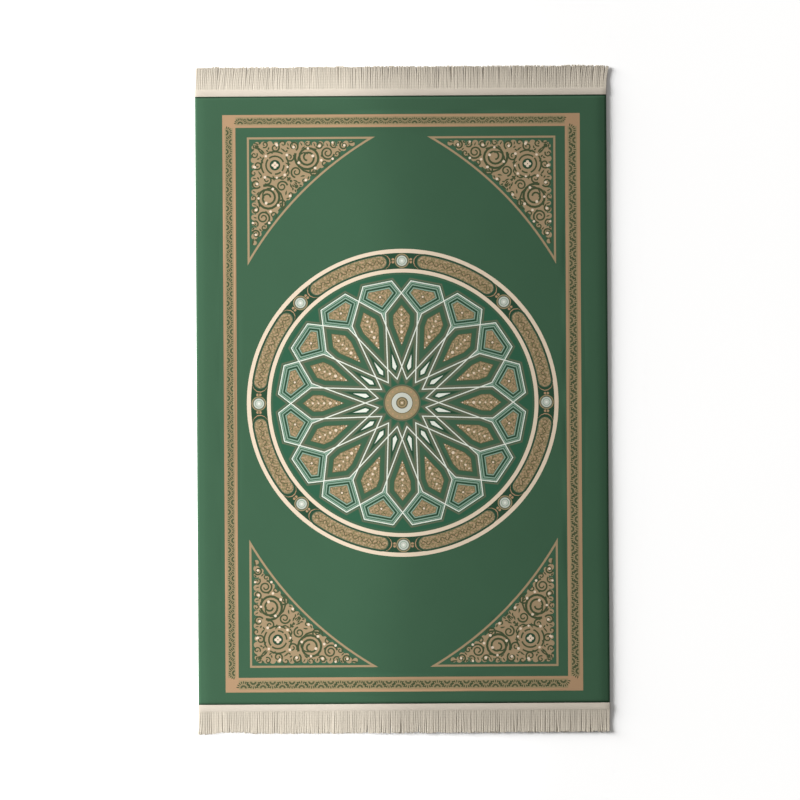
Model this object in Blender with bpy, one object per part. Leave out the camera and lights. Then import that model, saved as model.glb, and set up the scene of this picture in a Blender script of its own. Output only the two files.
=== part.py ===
"""A prayer rug lying flat: one pile cloth, and a heading tape and a fringe sewn to each end.

Metres, +Z up. The rug lies on z = 0 with its middle over the origin, its width along X and
its head end towards +Y. Run with: blender --background --python part.py
"""

import math
import random

import bmesh
import bpy
from mathutils import Vector

# The pile cloth, between the two heading tapes.
RUG_WIDTH = 0.803
RUG_LENGTH = 1.186
RUG_THICKNESS = 0.008

# Its side edges, where the pile rounds over to the selvedge.
SELVEDGE_HEIGHT = 0.0030
SHOULDER = 0.0060  # how far in from the edge the quarter round runs
CROWN = 0.0014  # the last slow rise behind the quarter round, on the two long sides only
CROWN_REACH = 0.018

# Its bare ends, which have no pile and lie under the heading tapes.
BARE_END = 0.0060
BARE_HEIGHT = 0.0030
PILE_STEP = 0.0002  # the pile stops almost upright at the bare end

# Soft waves left in the pile: amplitude, and wavelength along X and Y.
PILE_WAVES = (
    (0.00035, 0.62, 0.90),
    (0.00022, 0.34, 0.41),
    (0.00012, 0.17, 0.23),
)

GAP = 0.0003  # between pieces that are sewn face to face

# The heading tapes, which lie over the bare ends of the cloth and over the fringe's roots.
TAPE_WIDTH = 0.0136
TAPE_THICKNESS = 0.0022
TAPE_ROUND = 0.0007

# The fringes: a spine under the tape, and teeth that stand for locks of about a dozen strands.
FRINGE_LENGTH = 0.0455  # from the tape's outer edge to the longest tips
SPINE_HEIGHT = 0.0030
TIP_HEIGHT = 0.0026
TEETH = 48
TOOTH_SHARE = 0.86  # of each tooth's pitch; the rest is the gap to the next
LENGTH_UNEVEN = 0.07  # the shortest lock, as a share cut off the longest
LEAN_UNEVEN = 0.0016  # sideways, at the tips

GRID_COLUMNS = 26
GRID_ROWS = 38
SHOULDER_STEPS = 5


def clear_scene():
    for item in list(bpy.data.objects):
        bpy.data.objects.remove(item, do_unlink=True)


def new_collection(name):
    collection = bpy.data.collections.new(name)
    bpy.context.scene.collection.children.link(collection)
    return collection


def cloth_material(name, colour, roughness):
    """A plain fibre finish."""
    material = bpy.data.materials.new(name)
    material.use_nodes = True
    shader = material.node_tree.nodes["Principled BSDF"]
    shader.inputs["Base Color"].default_value = (*colour, 1.0)
    shader.inputs["Roughness"].default_value = roughness
    shader.inputs["Metallic"].default_value = 0.0
    return material


def new_object(name, bm, collection, material):
    bmesh.ops.recalc_face_normals(bm, faces=bm.faces[:])
    mesh = bpy.data.meshes.new(name)
    bm.to_mesh(mesh)
    bm.free()
    mesh.materials.append(material)
    mesh.shade_smooth()
    mesh.set_sharp_from_angle(angle=math.radians(40))
    item = bpy.data.objects.new(name, mesh)
    collection.objects.link(item)
    return item


def stations(half, steps):
    """Places across a cloth from -half to half: close together on both shoulders, even between."""
    shoulder = [SHOULDER * (k / SHOULDER_STEPS) ** 2 for k in range(SHOULDER_STEPS + 1)]
    shoulder += [SHOULDER + CROWN_REACH / 2, SHOULDER + CROWN_REACH]
    inner = half - shoulder[-1]
    middle = [inner * (2 * k / steps - 1) for k in range(1, steps)]
    left = [distance - half for distance in shoulder]
    return left + middle + [-x for x in reversed(left)]


def rounding(distance, crown=0.0):
    """Share of the pile's rise, from 0 at the cloth's edge to 1 well inside it."""
    inward = min(max(distance / SHOULDER, 0.0), 1.0)
    quarter = math.sqrt(1.0 - (1.0 - inward) ** 2)
    share = crown / (RUG_THICKNESS - SELVEDGE_HEIGHT)
    reach = min(max(distance - SHOULDER, 0.0) / CROWN_REACH, 1.0)
    return quarter * (1.0 - share * (1.0 - reach) ** 2)


def wave(x, y):
    """Height of the soft waves, never above zero so that the thickness stays the largest height."""
    total = 0.0
    for number, (size, along_x, along_y) in enumerate(PILE_WAVES):
        swing = math.cos(math.tau * (x / along_x + 0.3 * number)) * math.cos(math.tau * y / along_y)
        total += size * (swing - 1.0) / 2.0
    return total


def pile_height(x, y):
    share = rounding(RUG_WIDTH / 2 - abs(x), CROWN) * rounding(RUG_LENGTH / 2 - abs(y))
    return SELVEDGE_HEIGHT + (RUG_THICKNESS - SELVEDGE_HEIGHT + wave(x, y)) * share


def make_rug(collection):
    """One closed cloth: a sheet laid out on the floor, raised to the pile's height."""
    columns = stations(RUG_WIDTH / 2, GRID_COLUMNS)
    pile_rows = stations(RUG_LENGTH / 2, GRID_ROWS)
    pile_end = RUG_LENGTH / 2
    bare = [pile_end + PILE_STEP, pile_end + BARE_END]
    rows = [-y for y in reversed(bare)] + pile_rows + bare

    bm = bmesh.new()
    across, along = len(columns) - 1, len(rows) - 1
    bmesh.ops.create_grid(bm, x_segments=across, y_segments=along, size=0.5)
    for vert in bm.verts:
        column = round((vert.co.x + 0.5) * across)
        row = round((vert.co.y + 0.5) * along)
        vert.co = Vector((columns[column], rows[row], 0.0))
    raised = bmesh.ops.extrude_face_region(bm, geom=bm.faces[:])["geom"]
    for vert in raised:
        if not isinstance(vert, bmesh.types.BMVert):
            continue
        x, y, _ = vert.co
        is_bare = abs(y) > pile_end + PILE_STEP / 2
        vert.co.z = BARE_HEIGHT if is_bare else pile_height(x, y)
    green = cloth_material("green pile", (0.060, 0.140, 0.080), 0.95)
    return new_object("rug", bm, collection, green)


def make_tape(end, side, collection):
    """A flat woven band with soft edges, over the seam between the cloth and the fringe."""
    bm = bmesh.new()
    bmesh.ops.create_cube(bm, size=1.0)
    bmesh.ops.scale(bm, vec=(RUG_WIDTH, TAPE_WIDTH, TAPE_THICKNESS), verts=bm.verts[:])
    bmesh.ops.bevel(
        bm, geom=bm.edges[:], offset=TAPE_ROUND, segments=2, profile=0.5, affect="EDGES", material=-1
    )
    middle = RUG_LENGTH / 2 + PILE_STEP + GAP + TAPE_WIDTH / 2
    height = BARE_HEIGHT + GAP + TAPE_THICKNESS / 2
    bmesh.ops.translate(bm, vec=(0.0, side * middle, height), verts=bm.verts[:])
    cream = cloth_material(f"cream tape {end}", (0.74, 0.66, 0.53), 0.90)
    return new_object(f"tape_{end}", bm, collection, cream)


def tooth_faces(bm, outer, pitch):
    """The spine's outer faces that carry a tooth, from left to right."""
    faces = [f for f in bm.faces if f.normal.y > 0.9 and f.calc_center_median().y > outer - GAP]
    faces.sort(key=lambda face: face.calc_center_median().x)
    return [face for face in faces if face.calc_area() > 0.5 * pitch * SPINE_HEIGHT]


def make_fringe(end, side, seed, collection):
    """One comb: a spine under the tape and a tooth for each lock, uneven in length and lean."""
    chance = random.Random(seed)
    pitch = RUG_WIDTH / (TEETH - 1 + TOOTH_SHARE)
    inner = RUG_LENGTH / 2 + BARE_END + GAP
    outer = RUG_LENGTH / 2 + PILE_STEP + GAP + TAPE_WIDTH

    bm = bmesh.new()
    bmesh.ops.create_grid(bm, x_segments=2 * TEETH - 1, y_segments=1, size=0.5)
    for vert in bm.verts:
        station = round((vert.co.x + 0.5) * (2 * TEETH - 1))
        tooth, is_end = divmod(station, 2)
        vert.co.x = pitch * (tooth + TOOTH_SHARE * is_end) - RUG_WIDTH / 2
        vert.co.y = outer if vert.co.y > 0 else inner
    raised = bmesh.ops.extrude_face_region(bm, geom=bm.faces[:])["geom"]
    lifted = [item for item in raised if isinstance(item, bmesh.types.BMVert)]
    bmesh.ops.translate(bm, vec=(0.0, 0.0, SPINE_HEIGHT), verts=lifted)
    bmesh.ops.recalc_face_normals(bm, faces=bm.faces[:])

    teeth = tooth_faces(bm, outer, pitch)
    longest = chance.randrange(TEETH)
    for number, face in enumerate(teeth):
        cut = 0.0 if number == longest else LENGTH_UNEVEN * chance.random()
        is_corner = number in (0, TEETH - 1)
        lean = 0.0 if is_corner else LEAN_UNEVEN * chance.uniform(-1.0, 1.0)
        reach = FRINGE_LENGTH * (1.0 - cut)
        for share, lean_share in ((0.5, 0.35), (0.5, 0.65)):
            face = bmesh.ops.extrude_discrete_faces(bm, faces=[face])["faces"][0]
            step = Vector((lean * lean_share, reach * share, 0.0))
            bmesh.ops.translate(bm, vec=step, verts=face.verts[:])
            along = (face.verts[0].co.y - outer) / reach
            top = SPINE_HEIGHT + (TIP_HEIGHT - SPINE_HEIGHT) * along
            for vert in face.verts:
                vert.co.z = min(vert.co.z, top)

    if side < 0:
        bmesh.ops.scale(bm, vec=(1.0, -1.0, 1.0), verts=bm.verts[:])
    cream = cloth_material(f"cream fringe {end}", (0.68, 0.60, 0.48), 0.90)
    return new_object(f"fringe_{end}", bm, collection, cream)


def main():
    clear_scene()
    collection = new_collection("prayer_rug")
    make_rug(collection)
    for end, side, seed in (("head", 1, 11), ("foot", -1, 23)):
        make_tape(end, side, collection)
        make_fringe(end, side, seed, collection)


main()
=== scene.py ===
"""A prayer rug laid flat: one pile cloth with its woven pattern, two heading tapes, two fringes.

Run as a script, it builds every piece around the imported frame. The pattern is a traditional one,
worked out here from its own geometry: a sixteen-fold strapwork rosette in a ring of cartouches,
scroll spandrels in the four corners, and a running vine round the border.
"""

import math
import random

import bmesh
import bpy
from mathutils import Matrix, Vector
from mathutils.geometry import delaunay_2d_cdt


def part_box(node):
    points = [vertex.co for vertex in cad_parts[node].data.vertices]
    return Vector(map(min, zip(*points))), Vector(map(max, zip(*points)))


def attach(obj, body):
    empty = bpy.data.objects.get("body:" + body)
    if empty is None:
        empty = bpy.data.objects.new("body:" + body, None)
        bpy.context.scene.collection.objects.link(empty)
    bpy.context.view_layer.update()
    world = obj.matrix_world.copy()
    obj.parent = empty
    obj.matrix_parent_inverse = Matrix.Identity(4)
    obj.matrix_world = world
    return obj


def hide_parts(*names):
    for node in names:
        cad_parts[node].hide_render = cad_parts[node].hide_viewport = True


bl_info = {
    "name": "Prayer Rug",
    "version": (1, 0, 0),
    "blender": (4, 5, 0),
    "location": "3D View > Sidebar > Rug",
    "description": "Builds a fringed prayer rug with a woven medallion",
    "category": "Object",
}

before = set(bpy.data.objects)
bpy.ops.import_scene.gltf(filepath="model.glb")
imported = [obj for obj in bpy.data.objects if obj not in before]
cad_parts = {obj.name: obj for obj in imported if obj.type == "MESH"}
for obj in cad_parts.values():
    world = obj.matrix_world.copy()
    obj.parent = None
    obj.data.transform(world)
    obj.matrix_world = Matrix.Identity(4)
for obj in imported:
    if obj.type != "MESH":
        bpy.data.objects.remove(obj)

MM = 0.001

# The cartoon, which is the weaver's full-size drawing, is in millimetres about the medallion's
# middle, with +Y towards the head end.
FOLD = 16  # the rosette's turns of symmetry
PEARLS = 8
BEADS = 18  # the dots round the boss

# Medallion rings: radii in mm. A woven medallion comes out a little short along the warp.
RING_OUTER = 304.1
RING_INNER = 264.8
RING_WIDTH = 7.4
OUTER_RING_WIDTH = 8.0
GREEN_RIM = 4.5  # inside the inner ring, before the ground turns to jade
BAND_MIDDLE = 280.6
BAND_SQUASH = 0.988
ROSETTE_SQUASH = 0.988
ROSETTE_SHIFT = -1.3

# The rosette's strap, by its three kinds of bend: radius in mm, and place in sixteenths of a turn.
STRAP_CORNER = (241.5, 0.198)
STRAP_BEND = (180.1, 0.4427)
STRAP_TIP = (47.8, 0.5)
STRAP_HALF = 1.0  # half of the white line's width
PENTAGON_MIDDLE = 214.0  # how far out the bud in the middle of each pentagon is

# Painted shade: the row of pile that each tape presses down is woven in deep green for the shadow it lies
# in, this many mm wide at each end.
SEAM_SHADE_HEAD = 1.9
SEAM_SHADE_FOOT = 0.8

# The border: the full width and length of its outer edge, and on each side of the rug the widths
# of its outer line, the vine's strip and its inner line, which the weaver didn't keep quite equal.
BORDER_SIZE = Vector((697.5, 1126.7))
BORDER_STRIPS = {
    "head": (4.5, 15.9, 4.6),
    "foot": (5.3, 18.3, 4.9),
    "right": (5.8, 18.4, 4.9),
    "left": (4.4, 16.0, 5.1),
}
VINE_PITCH = 37.0
VINE_ROOT = 0.36  # how far off the strip's middle a fan opens, as a share of the strip's width
VINE_SPREAD = 20  # degrees from one slit of a fan to the next
VINE_SLITS = (
    # both ends of a slit, as shares of the strip's width from the fan's root, and its own width
    (0.14, 0.40, 1.8),
    (0.45, 0.80, 2.4),
)
VINE_RIM = 0.84  # slits that would reach past this share are left out

# The spandrels: where their right angles stand at the head and foot ends, and their legs.
SPANDREL_WIDTH = 601.8
SPANDREL_HEAD = 519.6
SPANDREL_FOOT = 515.3
SPANDREL_LEG = 250.0
SPANDREL_BOW = 23.6
SPANDREL_LINE = 4.0
SPANDREL_GAP = 4.6  # between the frame line and the scrolls
LOBE_PITCH, LOBE_RADIUS = 12.4, 5.4  # the round lobes along the scrolls' edge

YARNS = (
    "green",
    "deep green",
    "jade",
    "moss",
    "tan",
    "fawn",
    "sand",
    "umber",
    "drab",
    "cream",
    "sage",
    "white",
    "pearl",
    "flecked",
    "backing",
)


# ---------------------------------------------------------------- flat geometry


def polar(radius, sixteenths=0.0):
    """A point this far out, so many sixteenths of a turn clockwise from the head end."""
    angle = math.tau * sixteenths / FOLD
    return Vector((radius * math.sin(angle), radius * math.cos(angle)))


def signed_area(outline):
    """Twice the area, positive where the outline runs anticlockwise."""
    return sum(a.cross(b) for a, b in zip(outline, outline[1:] + outline[:1]))


def inset(outline, by):
    """The outline moved inwards, or outwards where by is negative, with mitred corners."""
    if signed_area(outline) < 0:
        outline = outline[::-1]
    moved = []
    for before, here, after in zip(outline[-1:] + outline[:-1], outline, outline[1:] + outline[:1]):
        inward = (here - before).normalized().orthogonal()
        onward = (after - here).normalized().orthogonal()
        middle = (inward + onward).normalized()
        moved.append(here + middle * (by / middle.dot(inward)))
    return moved


def rectangle(low, high):
    return [Vector(low), Vector((high[0], low[1])), Vector(high), Vector((low[0], high[1]))]


def circle(middle, radius, sides):
    return [
        Vector(middle) + Vector((math.cos(t), math.sin(t))) * radius
        for t in (math.tau * k / sides for k in range(sides))
    ]


def arc(middle, radius, start, end, steps):
    """Points along an arc, from one angle to the other, in degrees anticlockwise from +X."""
    angles = (math.radians(start + (end - start) * k / steps) for k in range(steps + 1))
    return [Vector(middle) + Vector((math.cos(t), math.sin(t))) * radius for t in angles]


def bowed(a, b, bow, steps):
    """Points along an arc from a to b that bows out to the left of the way by this much."""
    chord = b - a
    side = chord.normalized().orthogonal()
    points = []
    for k in range(steps + 1):
        t = 2 * k / steps - 1
        points.append(a + chord * (t + 1) / 2 + side * bow * (1 - t * t))
    return points


def stroke(path, width, end_width=None):
    """The outline of a line along a path, tapering to end_width."""
    end_width = width if end_width is None else end_width
    left, right = [], []
    for number, here in enumerate(path):
        before = path[max(number - 1, 0)]
        after = path[min(number + 1, len(path) - 1)]
        side = (after - before).normalized().orthogonal()
        half = (width + (end_width - width) * number / (len(path) - 1)) / 2
        left.append(here + side * half)
        right.append(here - side * half)
    return left + right[::-1]


LEAF_SHAPE = ((0.0, 0.12), (0.3, 0.36), (0.62, 0.5), (0.86, 0.3))  # along, half width


def leaf(root, tip, width, bend=0.0):
    """A leaf from root to tip, widest past its middle, whose tip curls to the left."""
    along = tip - root
    side = along.normalized().orthogonal()

    def place(share, across):
        return root + along * share + side * (across * width + bend * along.length * share * share)

    left = [place(share, half) for share, half in LEAF_SHAPE]
    right = [place(share, -half) for share, half in LEAF_SHAPE]
    return left + [place(1.0, 0.0)] + right[::-1]


def spiral(middle, radius, start, sweep, width, closes=0.22, step=22.0):
    """A tapering line that winds in from radius to a share of it, through sweep degrees."""
    count = max(int(abs(sweep) / step), 4)
    path = []
    for k in range(count + 1):
        share = k / count
        angle = math.radians(start + sweep * share)
        reach = radius * (1 - (1 - closes) * share)
        path.append(Vector(middle) + Vector((math.cos(angle), math.sin(angle))) * reach)
    return stroke(path, width, width * 0.7)


class Cartoon:
    """The weaver's full-size drawing, as the faces of a flat bmesh.

    Each face is one outline. Its material_index is its yarn, and where outlines lie over each
    other, the one on the highest layer shows.
    """

    def __init__(self):
        self.bm = bmesh.new()
        self.layer = self.bm.faces.layers.int.new("layer")
        self.top = 0

    def draw(self, outline, yarn):
        self.top += 1
        face = self.bm.faces.new([self.bm.verts.new((*point, 0.0)) for point in outline])
        face.material_index = YARNS.index(yarn)
        face[self.layer] = self.top

    def since(self, mark):
        """All that was drawn after the top layer was at this mark."""
        faces = [face for face in self.bm.faces if face[self.layer] > mark]
        edges = {edge for face in faces for edge in face.edges}
        verts = {vert for face in faces for vert in face.verts}
        return faces + list(edges) + list(verts)

    def turn(self, mark, times):
        """Repeats a motif round the medallion."""
        angle = -math.tau * (times - 1) / times
        bmesh.ops.spin(
            self.bm, geom=self.since(mark), axis=(0, 0, 1), angle=angle, steps=times - 1,
            use_duplicate=True,
        )

    def line_up(self, mark, pitch, times):
        """Repeats a motif in a row."""
        bmesh.ops.spin(
            self.bm, geom=self.since(mark), axis=(0, 0, 1), angle=0.0, steps=times - 1,
            dvec=(*pitch, 0.0), use_duplicate=True,
        )

    def mirror(self, mark, axis):
        bmesh.ops.mirror(self.bm, geom=self.since(mark), matrix=Matrix.Identity(4), axis=axis)

    def place(self, mark, matrix):
        """Moves a motif that was drawn about the middle to its own place."""
        verts = [item for item in self.since(mark) if isinstance(item, bmesh.types.BMVert)]
        bmesh.ops.transform(self.bm, matrix=matrix, verts=verts)


# ---------------------------------------------------------------- the pattern


def draw_dot(cartoon, middle, radius, yarn="cream", ring=None, sides=8):
    """A round bud, with a ring of another yarn if one is named."""
    if ring:
        cartoon.draw(circle(middle, radius * 1.7, sides), ring)
    cartoon.draw(circle(middle, radius, sides), yarn)


def draw_vine(cartoon, start, end, strip):
    """A running vine along +X between two x values: fans of slits that open up and down by turns."""
    count = round((end - start) / VINE_PITCH)
    pitch = (end - start) / count
    mark = cartoon.top
    for bay, up in ((0.25, 1.0), (0.75, -1.0)):
        root = Vector((pitch * bay, -up * strip * VINE_ROOT))
        for number in range(-4, 5):
            turn = math.radians(VINE_SPREAD * number)
            way = Vector((math.sin(turn), up * math.cos(turn))) * strip
            for near, far, width in VINE_SLITS:
                if far * math.cos(turn) < VINE_RIM:
                    cartoon.draw(leaf(root + way * near, root + way * far, width), "moss")
    cartoon.place(mark, Matrix.Translation((start, 0.0, 0.0)))
    cartoon.line_up(mark, (pitch, 0.0), count)


def draw_border(cartoon):
    """Two tan lines with a vine between them, and a plain tan block at each corner."""
    half = BORDER_SIZE / 2
    width = {side: sum(widths) for side, widths in BORDER_STRIPS.items()}
    low = Vector((width["left"], width["foot"])) - half
    high = half - Vector((width["right"], width["head"]))
    cartoon.draw(rectangle(-half, half), "tan")
    cartoon.draw(rectangle(low, high), "green")
    for side, turned, start, end, out in (
        ("head", 0, low.x, high.x, half.y),
        ("right", 90, -high.y, -low.y, half.x),
        ("foot", 180, -high.x, -low.x, half.y),
        ("left", 270, low.y, high.y, half.x),
    ):
        mark = cartoon.top
        line, strip, _ = BORDER_STRIPS[side]
        cartoon.draw(rectangle((start, -strip / 2), (end, strip / 2)), "sand")
        draw_vine(cartoon, start, end, strip)
        turn = Matrix.Rotation(-math.radians(turned), 4, "Z")
        cartoon.place(mark, turn @ Matrix.Translation((0.0, out - line - strip / 2, 0.0)))


# The scrolls of half a spandrel, in mm along its two legs from the right angle. Each is a dark line
# that winds in through the tan, and the tan left between its turns is the stem.
SCROLLS = (
    # along, in, radius, start and sweep in degrees, width of the dark line
    (118.5, 40.0, 25.5, 200, -820, 4.9),
    (118.5, 40.0, 32.5, 60, 215, 3.5),
    (157.0, 31.0, 13.5, 10, 620, 3.7),
    (189.0, 17.0, 8.2, 250, -470, 3.5),
    (168.5, 14.5, 7.0, 40, 420, 2.9),
    (141.5, 15.5, 7.6, 160, -450, 3.3),
    (118.0, 12.5, 6.0, 330, 330, 2.8),
    (91.0, 17.5, 9.4, 60, -480, 3.5),
    (70.0, 13.0, 6.0, 200, 330, 2.8),
    (55.0, 20.5, 8.8, 300, 470, 3.4),
    (34.5, 14.0, 6.6, 120, -400, 2.9),
    (83.0, 39.0, 9.4, 330, 470, 3.4),
    (96.0, 68.0, 11.0, 100, 520, 3.5),
    (131.0, 68.0, 8.6, 210, -430, 3.3),
    (112.0, 84.0, 5.6, 30, 300, 2.8),
    (152.0, 51.0, 7.2, 20, 400, 2.9),
    (176.0, 33.0, 7.0, 120, -400, 2.9),
)

FLOWER = (54.5, 54.5)  # the middle of the round scroll on the diagonal
FLOWER_REACH = 29.5
FLOWER_ARCS = (
    # radius, start and end in degrees
    (26.5, -125, -55),
    (26.5, -35, 35),
    (17.5, -130, -20),
    (17.5, 0, 40),
)

# Slits between the scrolls of half a spandrel: root and tip in the same frame, width and curl.
SLITS = (
    # along, in, along, in, width, curl
    (24.0, 22.0, 36.0, 31.0, 3.7, 0.15),
    (14.0, 12.0, 23.0, 13.5, 3.4, 0.10),
    (44.0, 27.0, 50.0, 33.0, 3.2, -0.20),
    (66.0, 22.0, 76.0, 27.0, 3.4, 0.20),
    (75.0, 50.0, 84.0, 55.0, 3.7, -0.20),
    (80.0, 62.0, 84.0, 72.0, 3.4, 0.20),
    (90.0, 84.0, 100.0, 86.0, 3.4, 0.20),
    (104.0, 77.0, 113.0, 74.0, 3.2, 0.15),
    (106.0, 24.0, 112.0, 17.0, 2.9, 0.20),
    (128.0, 22.0, 136.0, 26.0, 3.4, -0.20),
    (143.0, 60.0, 140.0, 76.0, 3.4, 0.20),
    (150.0, 40.0, 143.0, 36.0, 2.9, 0.15),
    (166.0, 45.0, 173.0, 41.0, 3.2, 0.15),
    (178.0, 23.0, 184.0, 27.0, 2.9, 0.15),
    (197.0, 12.0, 211.0, 10.5, 3.4, -0.10),
    (155.0, 12.0, 159.0, 18.0, 2.7, 0.20),
    (130.0, 11.0, 134.0, 18.0, 2.7, 0.20),
    (104.0, 10.5, 109.0, 16.0, 2.7, 0.20),
    (79.0, 10.5, 82.0, 17.0, 2.7, 0.20),
)

# The buds of half a spandrel, in the same frame.
BUDS = (
    # along, in, radius
    (190.0, 16.3, 2.6),
    (167.0, 10.8, 2.3),
    (141.5, 17.4, 2.8),
    (119.0, 22.0, 2.4),
    (91.0, 19.5, 2.8),
    (58.5, 15.4, 2.8),
    (13.5, 57.5, 2.5),
    (78.0, 34.8, 2.8),
    (128.5, 36.8, 2.9),
    (101.0, 50.0, 2.7),
    (145.0, 45.4, 2.6),
    (167.0, 42.6, 2.6),
    (132.8, 60.6, 2.8),
    (114.5, 84.0, 2.7),
    (79.0, 58.0, 2.2),
)


def lobes(a, b, pitch, radius):
    """The middles of round lobes in a row between two points, and their radii, which vary."""
    count = max(round((b - a).length / pitch), 1)
    return [(a.lerp(b, (k + 0.5) / count), radius * (0.86 + 0.28 * (k % 3) / 2)) for k in range(count)]


# The small slits between all of these stand in rows, each at its own turn, where there is room.
FILL_PITCH = Vector((6.2, 5.2))
FILL_ROWS, FILL_COLUMNS = 20, 32
SCROLL_ROOM, BUD_ROOM, SLIT_ROOM = 2.6, 2.0, 4.6  # what each slit keeps clear of them
FILL_HALF = 3.0  # half of a slit's length
FILL_WIDTH = 3.6
FILL_CURL = 0.25
FILL_TURN = 137.5  # degrees from one slit to the next, the turn that leaves of a stem take


def draw_fill(cartoon, leg):
    """Small curled slits wherever half a spandrel's field would otherwise be left plain."""
    taken = [(Vector(row[:2]), row[2] + SCROLL_ROOM) for row in SCROLLS]
    taken += [(Vector(row[:2]), row[2] + BUD_ROOM) for row in BUDS]
    taken += [((Vector(row[:2]) + Vector(row[2:4])) / 2, SLIT_ROOM) for row in SLITS]
    taken.append((Vector(FLOWER), FLOWER_REACH))
    rim = SPANDREL_LINE + SPANDREL_GAP + FILL_HALF
    for row in range(FILL_ROWS):
        for column in range(FILL_COLUMNS):
            place = Vector((rim + FILL_PITCH.x * (column + 0.5 * (row % 2)), rim + FILL_PITCH.y * row))
            bowed_in = 4 * SPANDREL_BOW * (place.x * place.y) / leg**2
            if place.y > place.x - 1.5 or place.x + place.y > leg - 22.0 - 1.6 * bowed_in:
                continue
            if any((place - middle).length < reach for middle, reach in taken):
                continue
            turn = math.radians(FILL_TURN * (row * 7 + column))
            half = Vector((math.cos(turn), math.sin(turn))) * FILL_HALF
            cartoon.draw(leaf(place - half, place + half, FILL_WIDTH, FILL_CURL), "moss")


def draw_spandrel(cartoon):
    """The spandrel at the head end's right corner, drawn from its right angle along both legs."""
    leg = SPANDREL_LEG
    corner = Vector((0.0, 0.0))
    bow = bowed(Vector((leg, 0.0)), Vector((0.0, leg)), SPANDREL_BOW, 20)
    outline = [corner] + bow
    cartoon.draw(outline, "fawn")
    cartoon.draw(inset(outline, SPANDREL_LINE), "green")

    # The tan field, with a scalloped edge, through which the dark lines wind.
    field = inset(outline, SPANDREL_LINE + SPANDREL_GAP + 4.0)
    cut = [point for point in field if point.x + point.y < leg - 34.0 or min(point) > 24.0]
    cartoon.draw(cut, "fawn")
    rim = SPANDREL_LINE + SPANDREL_GAP + 5.0
    reach = leg - 38.0
    rows = [(Vector((rim, rim)), Vector((reach, rim))), (Vector((rim, rim)), Vector((rim, reach)))]
    curve = inset(outline, rim)[3:-3]
    rows += list(zip(curve, curve[1:]))
    for start, end in rows:
        for middle, radius in lobes(start, end, LOBE_PITCH, LOBE_RADIUS):
            cartoon.draw(circle(middle, radius, 12), "fawn")

    flower = Vector(FLOWER)
    swap = Matrix(((0, 1, 0, 0), (1, 0, 0, 0), (0, 0, 1, 0), (0, 0, 0, 1)))
    for flipped in (False, True):
        mark = cartoon.top
        for along, into, radius, start, sweep, width in SCROLLS:
            cartoon.draw(spiral((along, into), radius, start, sweep, width), "moss")
        for along, into, tip_along, tip_into, width, curl in SLITS:
            root, tip = Vector((along, into)), Vector((tip_along, tip_into))
            cartoon.draw(leaf(root, tip, width, curl), "moss")
        draw_fill(cartoon, leg)
        for radius, start, end in FLOWER_ARCS:
            cartoon.draw(stroke(arc(flower, radius, start, end, 8), 3.2), "moss")
        for along, into, radius in BUDS:
            draw_dot(cartoon, (along, into), radius)
        if flipped:
            cartoon.place(mark, swap)

    # On the diagonal: the flower in its round scroll, and the slits and buds of the two corners.
    diagonal = Vector((1.0, 1.0)).normalized()
    cartoon.draw(circle(flower, 10.4, 16), "deep green")
    for angle in (0, 90, 180, 270):
        way = Vector((math.cos(math.radians(angle)), math.sin(math.radians(angle))))
        draw_dot(cartoon, flower + way * 3.9, 3.1)
    for near, far in ((20.0, 34.0), (108.0, 122.0), (128.0, 140.0)):
        cartoon.draw(leaf(diagonal * near, diagonal * far, 3.4), "moss")
    draw_dot(cartoon, diagonal * 52.0, 2.4)
    draw_dot(cartoon, diagonal * 104.0, 2.6)


def draw_spandrels(cartoon):
    for side, rise in ((1.0, SPANDREL_HEAD), (-1.0, SPANDREL_FOOT)):
        mark = cartoon.top
        draw_spandrel(cartoon)
        corner = Matrix.Translation((SPANDREL_WIDTH / 2, side * rise, 0.0))
        cartoon.place(mark, corner @ Matrix.Diagonal((-1.0, -side, 1.0, 1.0)))
        cartoon.mirror(mark, "X")


def capsule(half_span, half_width, cap):
    """A long round-ended outline that follows the band: half_span in degrees, the rest in mm."""
    steps = 14
    outline = []
    for radius_side, first, last in ((1, -half_span, half_span), (-1, half_span, -half_span)):
        for k in range(steps + 1):
            angle = math.radians(first + (last - first) * k / steps)
            radius = BAND_MIDDLE + radius_side * half_width
            outline.append(Vector((radius * math.sin(angle), radius * math.cos(angle))))
        end = math.radians(last)
        middle = Vector((BAND_MIDDLE * math.sin(end), BAND_MIDDLE * math.cos(end)))
        outward = Vector((math.sin(end), math.cos(end))) * radius_side
        onward = Vector((math.cos(end), -math.sin(end))) * radius_side
        for k in range(1, 7):
            turn = math.pi * k / 7
            outline.append(middle + outward * half_width * math.cos(turn) + onward * cap * math.sin(turn))
    return outline


CAPSULE_SPAN = 13.8  # half of a cartouche's straight stretch, in degrees round the band
CAPSULES = (
    # half width, length of the round end, yarn
    (16.2, 20.6, "tan"),
    (16.2, 18.8, "deep green"),
    (13.0, 13.2, "drab"),
    (11.8, 11.9, "flecked"),
)
STEM_SPAN = 15.4  # half of the stem's length, in degrees
STEM_SWAY = 4.6


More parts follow.
